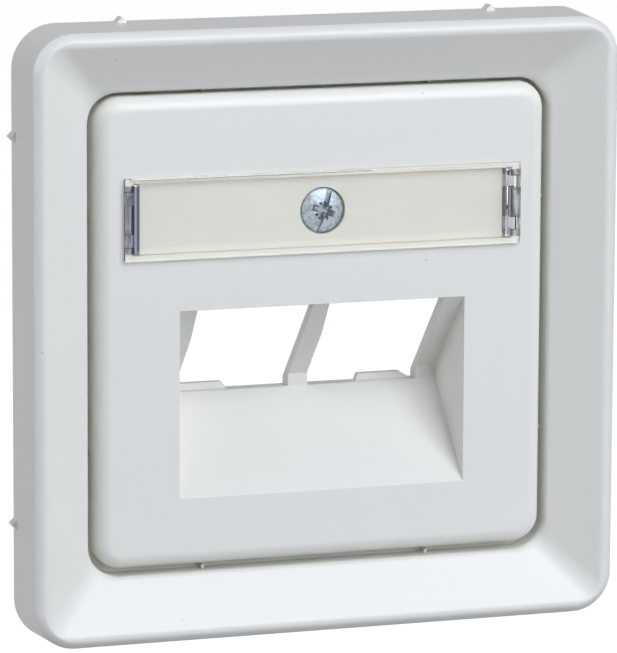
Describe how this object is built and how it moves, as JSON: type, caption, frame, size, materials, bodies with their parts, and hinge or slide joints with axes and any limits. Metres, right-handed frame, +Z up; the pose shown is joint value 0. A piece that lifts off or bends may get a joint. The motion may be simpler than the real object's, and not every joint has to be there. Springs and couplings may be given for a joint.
{
  "type": "wall plate",
  "caption": "Square white wall plate with a dished cover frame, a centre plate with a slanted recess for data jacks, a clear label window over a card, and a fixing screw.",
  "frame": {"origin": "middle of the wall plane, on the back edge of the cover frame", "axes": "+Z up on the wall, +X to the right seen from the front, +Y into the wall, so the front looks along -Y"},
  "size_m": [0.0822, 0.0244, 0.0822],
  "materials": {
    "frame_white": "smooth moulded white, satin gloss",
    "plate_white": "smooth moulded white, satin gloss",
    "clear_window": "clear moulded plastic",
    "label_card": "plain cream card",
    "zinc_screw": "bright zinc plating, faint blue"
  },
  "bodies": {
    "plate_and_frame": {"cover_frame": "frame_white", "central_plate": "plate_white", "label_card": "label_card"},
    "clear_window": {"label_window": "clear_window"},
    "screw": {"fixing_screw": "zinc_screw"}
  },
  "joints": [
    {"name": "window_pull", "type": "slide", "parent": "plate_and_frame", "child": "clear_window", "axis": [0, -1, 0], "range_m": [0, 0.004]},
    {"name": "screw_turn", "type": "hinge", "parent": "plate_and_frame", "child": "screw", "pos_m": [0, -0.00519, 0.0154], "axis": [0, 1, 0], "continuous": true}
  ]
}
